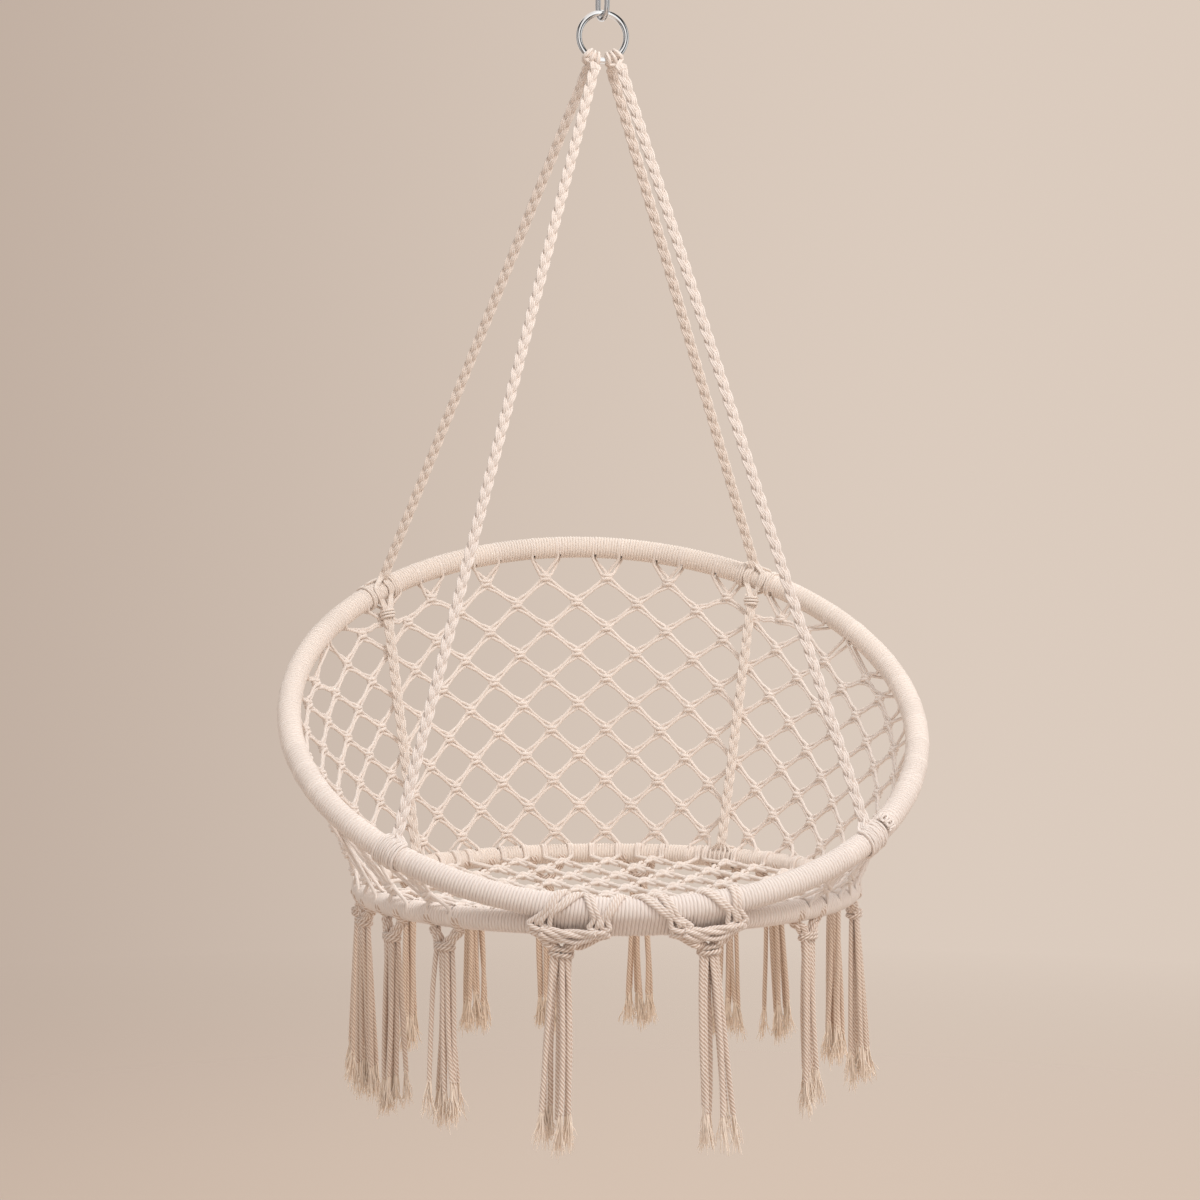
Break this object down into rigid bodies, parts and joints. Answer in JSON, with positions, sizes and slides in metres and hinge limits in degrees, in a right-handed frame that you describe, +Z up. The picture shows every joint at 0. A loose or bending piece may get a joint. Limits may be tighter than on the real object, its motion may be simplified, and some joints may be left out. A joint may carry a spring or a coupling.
{
  "type": "hammock chair",
  "caption": "Round hanging chair: two cord-wrapped steel hoops with knotted cotton net back and seat, hung by four braided ropes from a steel ring and link.",
  "frame": {"origin": "inside of the oval link's top bend, the point that the whole chair hangs from", "axes": "+Z up, the open front of the chair faces -Y, +X to the right of someone who looks at the chair's front"},
  "size_m": [0.7966, 0.6935, 1.3836],
  "materials": {
    "polished_steel": "polished",
    "tube_steel": "satin",
    "wrap_cotton": "matte",
    "net_cotton": "matte",
    "rope_cotton": "matte",
    "tassel_cotton": "matte"
  },
  "bodies": {
    "link": {"hanging_link": "polished_steel"},
    "ring": {"hanging_ring": "polished_steel"},
    "chair": {"back_net_1": "net_cotton", "back_net_2": "net_cotton", "back_net_3": "net_cotton", "back_net_4": "net_cotton", "back_net_5": "net_cotton", "back_net_6": "net_cotton", "back_net_7": "net_cotton", "front_lashing": "wrap_cotton", "front_macrame_left": "tassel_cotton", "front_macrame_right": "tassel_cotton", "gather_knot_left": "rope_cotton", "gather_knot_right": "rope_cotton", "hoop_tube": "tube_steel", "hoop_wrap": "wrap_cotton", "lower_rope_left": "rope_cotton", "lower_rope_right": "rope_cotton", "rope_back_left": "rope_cotton", "rope_back_right": "rope_cotton", "rope_front_left": "rope_cotton", "rope_front_right": "rope_cotton", "rope_loop_left": "rope_cotton", "rope_loop_right": "rope_cotton", "seat_net": "net_cotton", "seat_ring_tube": "tube_steel", "seat_ring_wrap": "wrap_cotton", "seat_tie_left": "rope_cotton", "seat_tie_right": "rope_cotton", "side_knot_left_1": "net_cotton", "side_knot_left_2": "net_cotton", "side_knot_right_1": "net_cotton", "side_knot_right_2": "net_cotton", "tassel_01": "tassel_cotton", "tassel_02": "tassel_cotton", "tassel_03": "tassel_cotton", "tassel_04": "tassel_cotton", "tassel_05": "tassel_cotton", "tassel_06": "tassel_cotton", "tassel_07": "tassel_cotton", "tassel_08": "tassel_cotton", "tassel_09": "tassel_cotton", "tassel_10": "tassel_cotton", "tassel_11": "tassel_cotton", "tassel_12": "tassel_cotton", "tassel_13": "tassel_cotton", "tassel_front_left": "tassel_cotton", "tassel_front_right": "tassel_cotton", "tie_back_left": "rope_cotton", "tie_back_right": "rope_cotton", "tie_front_left": "rope_cotton", "tie_front_right": "rope_cotton"}
  },
  "joints": [
    {"name": "ring_swing", "type": "hinge", "parent": "link", "child": "ring", "pos_m": [0, 0, -0.0622], "axis": [1, 0, 0], "range_deg": [-35, 35]},
    {"name": "chair_sway", "type": "hinge", "parent": "ring", "child": "chair", "pos_m": [0, 0, -0.0912], "axis": [0, 1, 0], "range_deg": [-20, 20]}
  ]
}
